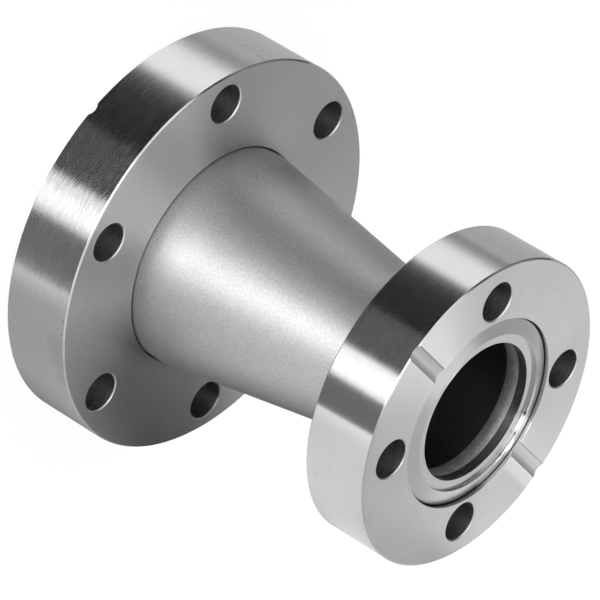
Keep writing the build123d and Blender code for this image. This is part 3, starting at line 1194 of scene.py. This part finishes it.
def card_light(studio, along):
    """Painted light of the white card, which glows in place of a lit table: bright next to the bolt
    ring, with painted shade behind the large flange.

    The card fades upwards, has a painted pool of light at its front end, and a painted soft shadow
    of the part on it."""
    sheet = Finish("white_card")
    place = sheet.place()
    side, z = place.x * along.x + place.y * along.y, place.z
    low = sheet.blend(sheet.ramp(z, -5.0, 45.0), studio.card_dim, studio.card_lit)
    high = studio.card_high + sheet.ramp(side, 10.0, 40.0, 0.0, 0.22)
    high = high + sheet.ramp(side, 8.0, 20.0) * sheet.ramp(z, 95.0, 80.0, 0.0, 0.30)
    lit = sheet.blend(sheet.ramp(z, 60.0, 72.0), low, high)
    # Painted light: a brighter pool at the card's front end.
    glow = sheet.ramp(side, -48.0, -70.0) * sheet.ramp(z, 45.0, -5.0, 0.35, 0.70)
    # Painted shadow: the part's soft shadow on the card.
    shade = sheet.ramp(side, -23.0, 8.0) * sheet.ramp(side, 80.0, 25.0)
    shade = shade * sheet.ramp(z, 65.0, 40.0) * studio.card_painted_shadow
    material = sheet.close(sheet.node("ShaderNodeEmission", {
        "Color": sheet.scaled((1.0, 1.0, 1.0), lit * (1 + glow) * (1 - shade)), "Strength": 1.0,
    }))
    material.cycles.emission_sampling = "NONE"
    return material


def white_card(studio):
    """A white card that leans on both rims and glows with painted light and shadow, for reflections
    only.
    """
    flange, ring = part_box("large_flange")[1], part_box("bolt_ring")[1]
    lean = (flange.x - ring.x) / (ring.z - flange.z)
    across = Vector((cos(studio.card_azimuth), sin(studio.card_azimuth), 0))
    along = Vector((-across.y, across.x, 0))
    corners = []
    for side, height in (
        (CARD_FRONT, CARD_LOW), (CARD_REAR, CARD_LOW),
        (CARD_REAR, CARD_HIGH), (CARD_FRONT, CARD_HIGH),
    ):
        reach = flange.x + CARD_GAP - (height - flange.z) * lean
        corners.append(along * side + across * reach + Vector((0, 0, height)))
    card = stage_sheet("white_card", corners, card_light(studio, along))
    card.visible_camera = card.visible_diffuse = False
    card.visible_transmission = card.visible_shadow = False


class REDUCER_OT_studio(bpy.types.Operator):
    """Sets up the floor, the white card, the light tent and the camera"""
    bl_idname = "reducer.studio"
    bl_label = "Studio"

    def execute(self, context):
        studio = context.scene.reducer_studio
        pale = Finish("pale_floor")
        camera = pale.node("ShaderNodeLightPath", output="Is Camera Ray")
        matt = pale.node("ShaderNodeBsdfDiffuse", {"Color": (0.9, 0.9, 0.9, 1)})
        glow = pale.node("ShaderNodeEmission", {"Color": (1, 1, 1, 1), "Strength": 1.04})
        mixed = pale.node("ShaderNodeMixShader", {0: camera * 0.86, 1: matt, 2: glow})
        ground = level_square(studio.floor_size, -0.02 * MM)
        stage_sheet("floor", ground, pale.close(mixed)).visible_glossy = False
        # A black sheet under the passage, unseen by the camera, is painted shade for the unlit
        # floor under the part, and keeps the floor's light out of it.
        dark = Finish("dark_mat")
        black = dark.node("ShaderNodeBsdfDiffuse", {"Color": (0.02, 0.02, 0.02, 1)})
        under = level_square(24 * MM, -0.01 * MM)
        stage_sheet("dark_mat", under, dark.close(black)).visible_camera = False
        white_card(studio)
        light_tent(studio)
        aim_camera(studio)
        context.scene.view_settings.view_transform = "Standard"
        return {"FINISHED"}


PIECES = (
    REDUCER_OT_large_flange,
    REDUCER_OT_cone_tube,
    REDUCER_OT_seal_welds,
    REDUCER_OT_knife_edge_hub,
    REDUCER_OT_bolt_ring,
    REDUCER_OT_retaining_wire,
    REDUCER_OT_studio,
)


class REDUCER_PT_panel(bpy.types.Panel):
    """Sizes and colours of the reducer, and a button for each of its pieces"""
    bl_idname = "REDUCER_PT_panel"
    bl_label = "Conical reducer"
    bl_space_type = "VIEW_3D"
    bl_region_type = "UI"
    bl_category = "Reducer"

    def draw(self, context):
        for group, kind in GROUPS.items():
            box = self.layout.box()
            box.label(text=kind.__doc__)
            for name in kind.__annotations__:
                box.prop(getattr(context.scene, group), name)
        for operator in PIECES:
            self.layout.operator(operator.bl_idname)


def register():
    for kind in (*GROUPS.values(), *PIECES, REDUCER_PT_panel):
        bpy.utils.register_class(kind)
    for group, kind in GROUPS.items():
        setattr(bpy.types.Scene, group, bpy.props.PointerProperty(type=kind))


def unregister():
    for group in GROUPS:
        delattr(bpy.types.Scene, group)
    for kind in reversed((*GROUPS.values(), *PIECES, REDUCER_PT_panel)):
        bpy.utils.unregister_class(kind)


def main():
    register()
    bpy.ops.reducer.large_flange()
    bpy.ops.reducer.cone_tube()
    bpy.ops.reducer.seal_welds()
    bpy.ops.reducer.knife_edge_hub()
    bpy.ops.reducer.bolt_ring()
    bpy.ops.reducer.retaining_wire()
    bpy.ops.reducer.studio()


if __name__ == "__main__":
    main()
